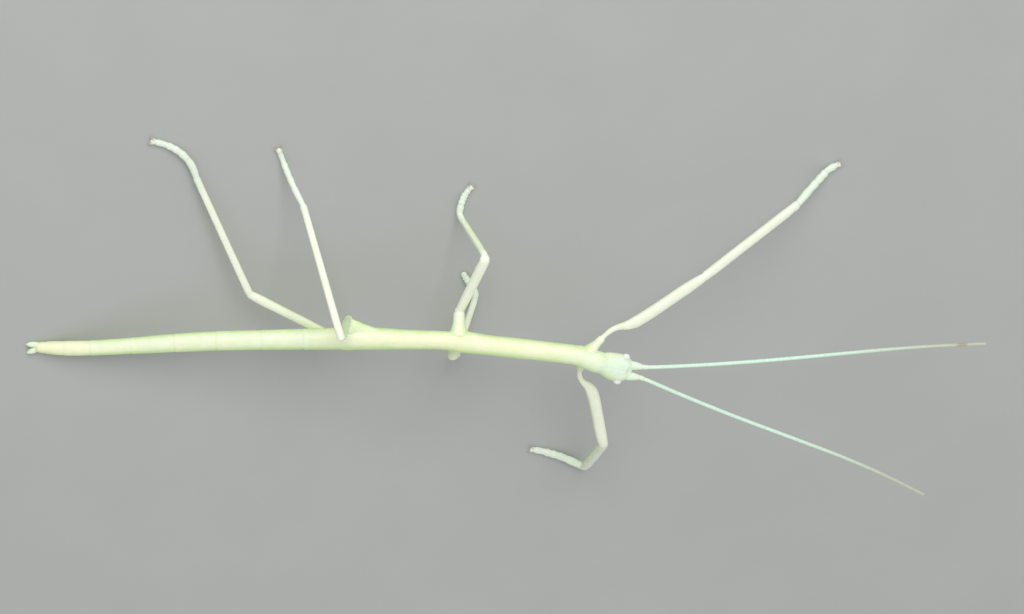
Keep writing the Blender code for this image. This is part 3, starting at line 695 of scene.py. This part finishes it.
def grow_foot(label, ankle):
    """A foot with the pads under its joints and its toe; gives the toe's place and heading."""
    node = "tarsus_" + label
    ends = trace(node, ankle, (0.05, 0.95))
    node_length = (ends[1][0] - ends[0][0]).length / 0.9
    rows = trace(node, ankle, FOOT_SHARES + (1.0 - TOE_INSET / node_length,))
    line = [ankle] + [row[0] for row in rows]
    for point in line[-2:]:
        point.z = FLOOR_LIFT
    half_width = max(row[1] for row in rows[:-1])
    length = distances(line)[-1]
    back, wide, deep = FOOT_HEEL
    stations = [(back, half_width * wide, half_width * deep, 0.0)]
    pads = []
    walked = 0.0
    for joint, profile in zip(FOOT_JOINTS, [FOOT_JOINT] * (len(FOOT_JOINTS) - 1) + [LAST_JOINT]):
        for share, swell in profile:
            girth = half_width * swell
            stations.append((length * (walked + joint * share), girth, girth * FOOT_FLATNESS, 0.0))
        pads.append(Vector((length * (walked + joint * PAD_PLACE), 0.0, -half_width * FOOT_FLATNESS)))
        walked += joint
    for ahead, wide, deep in FOOT_END:
        stations.append((length + ahead, half_width * wide, half_width * deep, 0.0))
    foot, straight = draw_soft_tube(node + "_tube", stations, FOOT_TURNS)
    for pad in pads[:-1]:
        pull(foot, pad, (0.0, 0.0, -PAD_DEPTH), PAD_REACH)
    bend_along(foot, line)
    foot_share = FOOT_TINT + (1.0 - FOOT_TINT) * np.clip(straight[:, 0], 0.0, 1.0)
    keep_cuticle(foot, straight, leg=1.0, foot=foot_share)

    way = line[-1] - line[-2]
    way.z = 0.0
    way.normalize()
    heading = math.atan2(way.y, way.x)
    bpy.ops.object.select_all(action="DESELECT")
    bpy.ops.mesh.primitive_uv_sphere_add(segments=20, ring_count=12, radius=1.0)
    pad = bpy.context.object
    pad.name = "toe_pad_" + label
    straight = place_of(pad)
    squash_where(pad, lambda corner: corner.z < -0.2, (1.0, 1.0, 0.7), (0.0, 0.0, -0.2))
    spot = line[-1] + way * TOE_PAD_AHEAD
    turn(pad, Matrix.Translation((spot.x, spot.y, FLOOR_LIFT - 0.02))
         @ Matrix.Rotation(heading, 4, "Z") @ Matrix.Diagonal((*TOE_PAD, 1.0)))
    keep_cuticle(pad, straight, leg=1.0, foot=1.0)
    return line[-1], heading


toes = {}
for pair in ("fore", "mid", "hind"):
    for side in SIDES:
        label = f"{pair}_{side}"
        hind = pair == "hind"
        coxa, femur, tibia = (part + label for part in ("coxa_", "femur_", "tibia_"))
        hip_end = meeting(coxa, femur)
        knee = meeting(femur, tibia)
        ankle = meeting(tibia, "tarsus_" + label)

        ends = [row[0] for row in trace(coxa, hip_end, (0.02, 0.98))]
        hip = max(ends, key=lambda end: (end - hip_end).length)
        hip_along = np.interp(hip.x, [point.x for point in trunk_line], trunk_places)
        rows = trace(coxa, hip, HIP_SHARES)
        grow_limb(coxa, hip, rows, hip_end, HIP_BASE, HIND_HIP_TIP if hind else HIP_TIP, (0.0, 0.8),
                  keels=False, along=hip_along)
        if hind:
            grow_hip_slope(side, hip_along, hip_end)
        rows = trace(femur, hip_end, FORE_THIGH_SHARES if pair == "fore" else LIMB_SHARES)
        base = HIND_THIGH_BASE if hind else THIGH_BASE
        grow_limb(femur, hip_end, rows, knee, base, THIGH_TIP, (0.8, 1.0))
        rows = trace(tibia, knee, LIMB_SHARES)
        grow_limb(tibia, knee, rows, ankle, SHIN_BASE, SHIN_TIP, (1.0, 1.0), foot=FOOT_TINT)
        toes[label] = grow_foot(label, ankle)

# Skin: all the parts put by above become one cuticle with no seam, a union of them smoothed where they meet.
# The corners take their straight place and kind from the part that they came from, for the colours.
MERGE_GAP = 0.003
SEAM_NEARNESS = 0.002
# The border with the head, smoothed into a neck: half its length, its radius and how often it is smoothed
NECK_SMOOTHING = (0.55, 2.3, 14)
BLENDS = 8
# Nodes that have pieces of their own
OWN_PIECES = ("eye_", "antenna_pedicel", "antenna_flag")


def write_corners(piece, name, rows):
    """Writes three values for each corner into a piece, for its colours."""
    layer = piece.data.attributes.new(name, "FLOAT_VECTOR", "POINT")
    layer.data.foreach_set("vector", rows.astype(np.float32).ravel())


skin = cuticle_parts[0]
skin.name = "skin"
for part in cuticle_parts[1:]:
    apply_modifier(skin, "BOOLEAN", operation="UNION", solver="MANIFOLD", object=part)
    bpy.data.objects.remove(part)

sources = kdtree.KDTree(sum(len(record[0]) for record in cuticle_records))
lay_rows = np.concatenate([record[1] for record in cuticle_records])
kind_rows = np.concatenate([record[2] for record in cuticle_records])
for index, corner in enumerate(np.concatenate([record[0] for record in cuticle_records])):
    sources.insert(corner, index)
sources.balance()

pick(skin, lambda corner: sources.find(corner)[2] > SEAM_NEARNESS)
bpy.ops.mesh.remove_doubles(threshold=MERGE_GAP)
bpy.ops.mesh.select_more()
bpy.ops.mesh.vertices_smooth(factor=0.5, repeat=4)
bpy.ops.mesh.select_more()
bpy.ops.mesh.vertices_smooth(factor=0.4, repeat=2)
bpy.ops.object.mode_set(mode="OBJECT")
neck = trunk_line[-1] + head_forward * 0.1
ahead, around, passes = NECK_SMOOTHING
pick(skin, lambda corner: abs((corner - neck).dot(head_forward)) < ahead and (corner - neck).length < around)
bpy.ops.mesh.vertices_smooth(factor=0.5, repeat=passes)
bpy.ops.mesh.select_all(action="SELECT")
bpy.ops.mesh.delete_loose(use_verts=True, use_edges=True, use_faces=False)
bpy.ops.object.mode_set(mode="OBJECT")
squash_where(skin, lambda corner: corner.z < 0.0, (1.0, 1.0, 0.0))
pick(skin, lambda corner: True)
bpy.ops.mesh.normals_make_consistent(inside=False)
bpy.ops.object.mode_set(mode="OBJECT")
bpy.ops.object.shade_smooth()

found = [sources.find(corner.co)[1] for corner in skin.data.vertices]
values = np.hstack([lay_rows[found], kind_rows[found]])
edges = np.empty(len(skin.data.edges) * 2, int)
skin.data.edges.foreach_get("vertices", edges)
rear, front = edges.reshape(-1, 2).T
neighbours = np.bincount(edges, minlength=len(values))[:, None]
for _ in range(BLENDS):
    total = np.zeros_like(values)
    np.add.at(total, rear, values[front])
    np.add.at(total, front, values[rear])
    values = (values + total / neighbours) / 2
write_corners(skin, "lay", values[:, :3])
write_corners(skin, "kind", values[:, 3:])
turn(skin, Matrix.Scale(MM, 4))

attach(skin, "root")
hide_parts(*[name for name in frame["nodes"] if not name.startswith(OWN_PIECES)])


def add_node(tree, kind, inputs=None, **settings):
    """Adds a shader node; each input is a plain value or another node's output."""
    node = tree.nodes.new(kind)
    for setting, value in settings.items():
        setattr(node, setting, value)
    for name, value in (inputs or {}).items():
        if isinstance(value, bpy.types.NodeSocket):
            tree.links.new(value, node.inputs[name])
        else:
            node.inputs[name].default_value = value
    return node


def mix_colours(tree, share, first, second):
    """Blends two colours by a share."""
    return add_node(tree, "ShaderNodeMix", {0: share, 6: first, 7: second}, data_type="RGBA").outputs[2]


def sums(tree, operation, *values):
    """One step of arithmetic."""
    return add_node(tree, "ShaderNodeMath", dict(enumerate(values)), operation=operation).outputs[0]


def times(tree, first, second):
    """One value times another."""
    return sums(tree, "MULTIPLY", first, second)


def corner_values(tree, name):
    """The three values that each corner of the piece holds under a name."""
    return add_node(tree, "ShaderNodeAttribute", attribute_name=name).outputs["Vector"]


def parts_of(tree, vector):
    """The X, Y and Z of a vector."""
    return add_node(tree, "ShaderNodeSeparateXYZ", {"Vector": vector}).outputs


def ease(tree, value, low, high):
    """Eases a value from 0 at low to 1 at high."""
    limits = {"Value": value, "From Min": low, "From Max": high}
    return add_node(tree, "ShaderNodeMapRange", limits, interpolation_type="SMOOTHSTEP").outputs["Result"]


def grain(tree, vector, scale, detail=3.0, roughness=0.55):
    """Soft noise at a scale."""
    settings = {"Vector": vector, "Scale": scale, "Detail": detail, "Roughness": roughness}
    return add_node(tree, "ShaderNodeTexNoise", settings).outputs["Fac"]


def stretched(tree, vector, scale):
    """A place with each axis scaled, so that a pattern runs out into streaks."""
    return add_node(tree, "ShaderNodeMapping", {"Vector": vector, "Scale": scale}).outputs["Vector"]


def new_material(name, plain_values):
    """A node material with its surface's plain values: its tree, its surface and the place on the piece."""
    material = bpy.data.materials.new(name)
    material.use_nodes = True
    tree = material.node_tree
    surface = tree.nodes["Principled BSDF"]
    for socket, value in plain_values.items():
        surface.inputs[socket].default_value = value
    place = add_node(tree, "ShaderNodeTexCoord").outputs["Object"]
    return material, tree, surface, place


def finish_surface(tree, surface, colour, height, strength, depth, invert=False):
    """Gives a surface its colour and its fine relief."""
    settings = {"Height": height, "Strength": strength, "Distance": depth}
    relief = add_node(tree, "ShaderNodeBump", settings, invert=invert)
    tree.links.new(colour, surface.inputs["Base Color"])
    tree.links.new(relief.outputs["Normal"], surface.inputs["Normal"])


# Waxy cuticle: cream along the back, pale green on the flanks, yellow green beneath, partly its own colour
# and partly painted light, lighter on top and darker below as if lit from above; paler and cooler on the
# head, legs and feet, with yellow streaks along the body, faint mottling and a fine grain
BACK_CREAM = (0.95, 0.965, 0.66, 1.0)
BACK_PALE = (0.89, 0.98, 0.72, 1.0)
FLANK_GREEN = (0.69, 0.91, 0.41, 1.0)
BELLY_GREEN = (0.50, 0.74, 0.25, 1.0)
STREAK_YELLOW = (0.92, 0.92, 0.48, 1.0)
HEAD_MINT = (0.82, 0.99, 0.78, 1.0)
HEAD_FLANK = (0.74, 0.95, 0.48, 1.0)
STRIPE_YELLOW = (0.90, 0.90, 0.48, 1.0)
LEG_GREEN = (0.76, 0.95, 0.53, 1.0)
LEG_PALE = (0.93, 1.0, 0.80, 1.0)
FOOT_PALE = (0.82, 0.93, 0.78, 1.0)
MOTTLE_GREEN = (0.55, 0.72, 0.30, 1.0)
MOTTLE_PALE = (1.0, 1.0, 0.9, 1.0)
MOTTLE_SHARE = 0.12
# How far the pale band of the back leans to the left, towards the key lamp: painted light, the lit side drawn
# paler
LIT_SIDE_LEAN = math.radians(27.0)
# Where the back turns warmer and the tail cream all round, by distance from the tail's tip
WARM_TAIL = (9.0, 5.0)
WARM_THORAX = (38.0, 50.0)
CREAM_TAIL = (9.5, 5.5)
# The yellow stripe behind each eye: its lower and upper edge, and where it ends ahead of the neck
STRIPE_EDGES = ((0.12, 0.32), (0.58, 0.38))
STRIPE_END = (3.3, 2.5)

material, tree, surface, place = new_material("waxy_cuticle", {
    "IOR": 1.48, "Sheen Weight": 0.08,
    "Subsurface Weight": 0.35, "Subsurface Radius": (0.9, 1.0, 0.45), "Subsurface Scale": 0.0008,
})
lay_vector = corner_values(tree, "lay")
along, aside, above = parts_of(tree, lay_vector)
leg_share, foot_share, head_share = parts_of(tree, corner_values(tree, "kind"))
streaks = grain(tree, stretched(tree, lay_vector, (0.10, 1.6, 1.6)), 1.6)
mottle = grain(tree, place, 900.0)
# Painted light: the pale band is turned towards the lit left side, so that side is drawn paler and the right
# side greener
lean_to_light = sums(tree, "ADD", times(tree, above, math.cos(LIT_SIDE_LEAN)), times(tree, aside, math.sin(LIT_SIDE_LEAN)))
height = sums(tree, "ADD", lean_to_light, times(tree, sums(tree, "SUBTRACT", streaks, 0.5), 0.7))
warm = sums(tree, "MAXIMUM", ease(tree, along, *WARM_TAIL), ease(tree, along, *WARM_THORAX))
back = mix_colours(tree, warm, BACK_PALE, BACK_CREAM)
# Darker yellow green low down and cream on top: partly the cuticle's colour, partly painted shade below and
# painted highlight above
colour = mix_colours(tree, ease(tree, height, -0.95, -0.15), BELLY_GREEN, FLANK_GREEN)
colour = mix_colours(tree, ease(tree, height, 0.40, 0.98), colour, back)
colour = mix_colours(tree, times(tree, ease(tree, streaks, 0.52, 0.66), 0.5), colour, STREAK_YELLOW)
colour = mix_colours(tree, times(tree, ease(tree, along, *CREAM_TAIL), 0.6), colour, BACK_CREAM)
stripe = times(tree, *(ease(tree, above, *edge) for edge in STRIPE_EDGES))
stripe = times(tree, stripe, ease(tree, along, *(trunk_length + ahead for ahead in STRIPE_END)))
# Head paler on top and greener low on its sides: partly its own colour, partly painted light from above and
# the left
head_colour = mix_colours(tree, ease(tree, height, -0.3, 0.8), HEAD_FLANK, HEAD_MINT)
head_colour = mix_colours(tree, times(tree, stripe, 0.6), head_colour, STRIPE_YELLOW)
colour = mix_colours(tree, head_share, colour, head_colour)
# Legs pale on top and greener beneath: partly their own colour, partly painted shade on the underside and
# painted light on top
leg_colour = mix_colours(tree, ease(tree, height, -0.9, 0.7), LEG_GREEN, LEG_PALE)
colour = mix_colours(tree, leg_share, colour, leg_colour)
colour = mix_colours(tree, foot_share, colour, FOOT_PALE)
mottling = mix_colours(tree, ease(tree, mottle, 0.30, 0.72), MOTTLE_GREEN, MOTTLE_PALE)
colour = mix_colours(tree, MOTTLE_SHARE, colour, mottling)
wrinkles = times(tree, grain(tree, stretched(tree, lay_vector, (1.2, 6.0, 6.0)), 2.0), 0.8)
relief = sums(tree, "ADD", grain(tree, place, 6000.0, 2.0), wrinkles)
finish_surface(tree, surface, colour, relief, 0.35, 0.00006)
gloss = add_node(tree, "ShaderNodeMapRange", {"Value": mottle, "To Min": 0.38, "To Max": 0.56})
tree.links.new(gloss.outputs["Result"], surface.inputs["Roughness"])
skin.data.materials.clear()
skin.data.materials.append(material)

# Eyes: two small round compound eyes set half into the sides of the head, milky white with a rosy tinge and
# a glossy face of tiny facets.
EYE_RADIUS = 0.54
# The inner side is flatter, from this far in, and the whole eye a little longer than high
EYE_INSIDE = 0.1
EYE_FLATNESS = 0.6
EYE_OVAL = (1.12, 1.0, 0.96)
EYE_MILK = (0.88, 0.92, 0.85, 1.0)
EYE_ROSE = (0.88, 0.84, 0.80, 1.0)

for (side, sign), centre in zip(SIDES.items(), eyes):
    bpy.ops.object.select_all(action="DESELECT")
    bpy.ops.mesh.primitive_ico_sphere_add(subdivisions=5, radius=EYE_RADIUS)
    eye = bpy.context.object
    eye.name = "compound_eye_" + side
    squash_where(eye, lambda corner: corner.y * sign < -EYE_INSIDE, (1.0, EYE_FLATNESS, 1.0),
                 (0.0, -EYE_INSIDE * sign, 0.0))
    squash_where(eye, lambda corner: True, EYE_OVAL)
    bpy.ops.object.shade_smooth()
    turn(eye, Matrix.Scale(MM, 4) @ Matrix.Translation(centre) @ head_place.to_3x3().to_4x4())

    material, tree, surface, place = new_material("milky_eye_" + side, {
        "Roughness": 0.16, "Coat Weight": 0.5, "Coat Roughness": 0.08,
        "Subsurface Weight": 0.3, "Subsurface Radius": (1.0, 0.7, 0.6), "Subsurface Scale": 0.0004,
    })
    facets = add_node(tree, "ShaderNodeTexVoronoi", {"Vector": place, "Scale": 14000.0}).outputs["Distance"]
    offset = add_node(tree, "ShaderNodeVectorMath", {0: place, 1: tuple(centre * MM)}, operation="SUBTRACT")
    outwards = add_node(tree, "ShaderNodeVectorMath", {0: offset.outputs[0], 1: tuple(head_left * sign)},
                        operation="DOT_PRODUCT")
    rim = ease(tree, outwards.outputs["Value"], EYE_RADIUS * MM * 0.05, EYE_RADIUS * MM * 0.75)
    colour = mix_colours(tree, rim, EYE_ROSE, EYE_MILK)
    colour = mix_colours(tree, times(tree, facets, 0.3), colour, EYE_ROSE)
    finish_surface(tree, surface, colour, facets, 0.4, 0.00002, invert=True)
    eye.data.materials.append(material)
    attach(eye, "root")
    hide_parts("eye_" + side)

# Feelers: a small second joint, then a long whip of nearly seventy short rings that grow longer outwards,
# thin as thread. Cool white, turning beige towards the tip, with a brownish band near the left one's end.
FEELER_TURNS = 12
FEELER_RINGS = 68
FIRST_RING = 0.48
RING_GROWTH = 0.008
RING_PROFILE = ((0.0, 0.93), (0.14, 1.0), (0.60, 1.01), (0.88, 1.04))
SECOND_JOINT = ((-0.12, 0.28), (0.0, 0.34), (0.12, 0.385), (0.45, 0.37), (0.75, 0.335), (0.86, 0.30))
FEELER_BASE_GIRTH = 0.295
FEELER_TIP_GIRTH = 0.25
FEELER_SHARES = (0.15, 0.5, 0.85)
# The tip lies this share of the last step beyond the last measured row
TIP_STEP = 0.15 / 0.35
# Where the rings begin, and how the tip closes: distance from the end and half width
RINGS_START = 0.9
FEELER_END = ((-0.02, 0.20), (0.06, 0.08))
SCAPE_MINT = (0.80, 0.98, 0.78, 1.0)
COOL_WHITE = (0.70, 0.93, 0.77, 1.0)
TIP_BEIGE = (0.56, 0.60, 0.46, 1.0)
BAND_BROWN = (0.34, 0.22, 0.12, 1.0)

for side in SIDES:
    names = ["antenna_pedicel_" + side] + [f"antenna_flagellum_{side}_{part}" for part in "abc"]
    feeler_line = [feeler_joints[side]]
    for node, following in zip(names, names[1:] + [None]):
        if node is not names[0]:
            feeler_line += [row[0] for row in trace(node, feeler_line[-1], FEELER_SHARES)]
        if following:
            feeler_line.append(meeting(node, following, 0.5))
    feeler_line.append(feeler_line[-1] + (feeler_line[-1] - feeler_line[-2]) * TIP_STEP)
    feeler_length = distances(feeler_line)[-1]
    stations = [(place, girth, girth * 0.95, 0.0) for place, girth in SECOND_JOINT]
    ring_lengths = np.array([FIRST_RING + RING_GROWTH * number for number in range(FEELER_RINGS)])
    ring_lengths *= (feeler_length - RINGS_START) / ring_lengths.sum()
    walked = RINGS_START
    for ring_length in ring_lengths:
        for share, swell in RING_PROFILE:
            place = walked + ring_length * share
            girth = np.interp(place, (RINGS_START, feeler_length), (FEELER_BASE_GIRTH, FEELER_TIP_GIRTH))
            stations.append((place, swell * girth, swell * girth, 0.0))
        walked += ring_length
    stations += [(feeler_length + place, girth, girth, 0.0) for place, girth in FEELER_END]
    feeler, straight = draw_soft_tube("feeler_" + side, stations, FEELER_TURNS)
    straight[:, 0] /= feeler_length
    bend_along(feeler, feeler_line)
    write_corners(feeler, "lay", straight)
    bpy.ops.object.shade_smooth()
    turn(feeler, Matrix.Scale(MM, 4))

    material, tree, surface, place = new_material("feeler_cuticle_" + side, {
        "Roughness": 0.42,
        "Subsurface Weight": 0.25, "Subsurface Radius": (0.8, 0.9, 0.8), "Subsurface Scale": 0.0004,
    })
    along = parts_of(tree, corner_values(tree, "lay"))["X"]
    colour = mix_colours(tree, ease(tree, along, 0.0, 0.10), SCAPE_MINT, COOL_WHITE)
    colour = mix_colours(tree, ease(tree, along, 0.45, 0.95), colour, TIP_BEIGE)
    if side == "left":
        band = times(tree, ease(tree, along, 0.905, 0.92), ease(tree, along, 0.95, 0.935))
        colour = mix_colours(tree, times(tree, band, 0.5), colour, BAND_BROWN)
    speckle = ease(tree, grain(tree, place, 2500.0), 0.35, 0.7)
    colour = mix_colours(tree, times(tree, speckle, 0.12), colour, BAND_BROWN)
    finish_surface(tree, surface, colour, grain(tree, place, 9000.0), 0.3, 0.00004)
    feeler.data.materials.append(material)
    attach(feeler, "root")
    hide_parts(*names)

# Claws: a pair of small curved hooks at the end of each foot, one on each side of its pad, pale horn at the
# root and amber at the point. One hook is drawn, then copied and turned into place.
CLAW_LINE = ((-0.25, 0.0, 0.0), (0.15, 0.0, 0.10), (0.55, 0.0, 0.08), (0.85, 0.0, -0.08), (0.98, 0.0, -0.26))
CLAW_GIRTH = ((0.0, 0.10), (0.2, 0.15), (0.5, 0.125), (0.85, 0.085), (1.15, 0.045), (1.30, 0.012))
CLAW_SPLAY = math.radians(24.0)
CLAW_AHEAD = 0.28
CLAW_SPACING = 0.20
CLAW_LIFT = 0.05
CLAW_TURNS = 10
CLAW_HORN = (0.84, 0.76, 0.60, 1.0)
CLAW_AMBER = (0.48, 0.30, 0.14, 1.0)

stations = [(place, girth, girth * 1.15, 0.0) for place, girth in CLAW_GIRTH]
hook, straight_hook = draw_soft_tube("claw_hook", stations, CLAW_TURNS)
bend_along(hook, [Vector(point) for point in CLAW_LINE])
write_corners(hook, "lay", straight_hook)

claw_material, tree, surface, place = new_material("claw_horn", {"Roughness": 0.30})
along = parts_of(tree, corner_values(tree, "lay"))["X"]
colour = mix_colours(tree, ease(tree, along, 0.35, 1.2), CLAW_HORN, CLAW_AMBER)
colour = mix_colours(tree, times(tree, grain(tree, place, 4000.0), 0.25), colour, CLAW_AMBER)
finish_surface(tree, surface, colour, grain(tree, place, 12000.0), 0.2, 0.00003)

for label, (toe, heading) in toes.items():
    hooks = []
    for sign in SIDES.values():
        copy = hook.copy()
        copy.data = hook.data.copy()
        bpy.context.scene.collection.objects.link(copy)
        root = Matrix.Translation((CLAW_AHEAD, CLAW_SPACING * sign, CLAW_LIFT))
        turn(copy, Matrix.Scale(MM, 4) @ Matrix.Translation(toe) @ Matrix.Rotation(heading, 4, "Z")
             @ root @ Matrix.Rotation(CLAW_SPLAY * sign, 4, "Z"))
        hooks.append(copy)
    choose(hooks[0])
    hooks[1].select_set(True)
    bpy.ops.object.join()
    claws = bpy.context.object
    claws.name = "claws_" + label
    bpy.ops.object.shade_smooth()
    claws.data.materials.append(claw_material)
    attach(claws, "root")
bpy.data.objects.remove(hook)

# Floor: a plain matt ground under the insect, which fills the view and catches its shadow. It is pale grey
# with a faint mottling, and belongs to the studio.
FLOOR_GREY = (0.44, 0.45, 0.43, 1.0)
FLOOR_PALE = (0.48, 0.49, 0.47, 1.0)

bpy.ops.object.select_all(action="DESELECT")
bpy.ops.mesh.primitive_plane_add(size=4.0)
floor = bpy.context.object
floor.name = "studio_floor"
material, tree, surface, place = new_material("pale_floor", {"Roughness": 0.85})
colour = mix_colours(tree, grain(tree, place, 60.0), FLOOR_GREY, FLOOR_PALE)
tree.links.new(colour, surface.inputs["Base Color"])
floor.data.materials.append(material)

# Light: a broad soft lamp above the far side of the insect, a weak one from the near side and a pale sky. All
# are plain white or nearly so.
SKY_COLOUR = (0.97, 0.98, 1.0, 1.0)
SKY_STRENGTH = 0.57
# Name, place, size and power
LAMPS = (
    ("key_lamp", (0.02, 0.55, 0.39), 0.35, 2.6),
    ("fill_lamp", (0.25, -0.50, 0.45), 0.60, 0.45),
)

for name, spot, size, power in LAMPS:
    bpy.ops.object.light_add(type="AREA", location=spot)
    lamp = bpy.context.object
    lamp.name = name
    lamp.data.size = size
    lamp.data.energy = power
    lamp.rotation_euler = (AIM - Vector(spot)).to_track_quat("-Z", "Y").to_euler()
world = bpy.data.worlds.new("studio_sky")
bpy.context.scene.world = world
world.use_nodes = True
sky = world.node_tree.nodes["Background"]
sky.inputs["Color"].default_value = SKY_COLOUR
sky.inputs["Strength"].default_value = SKY_STRENGTH
bpy.context.scene.view_settings.view_transform = "Standard"
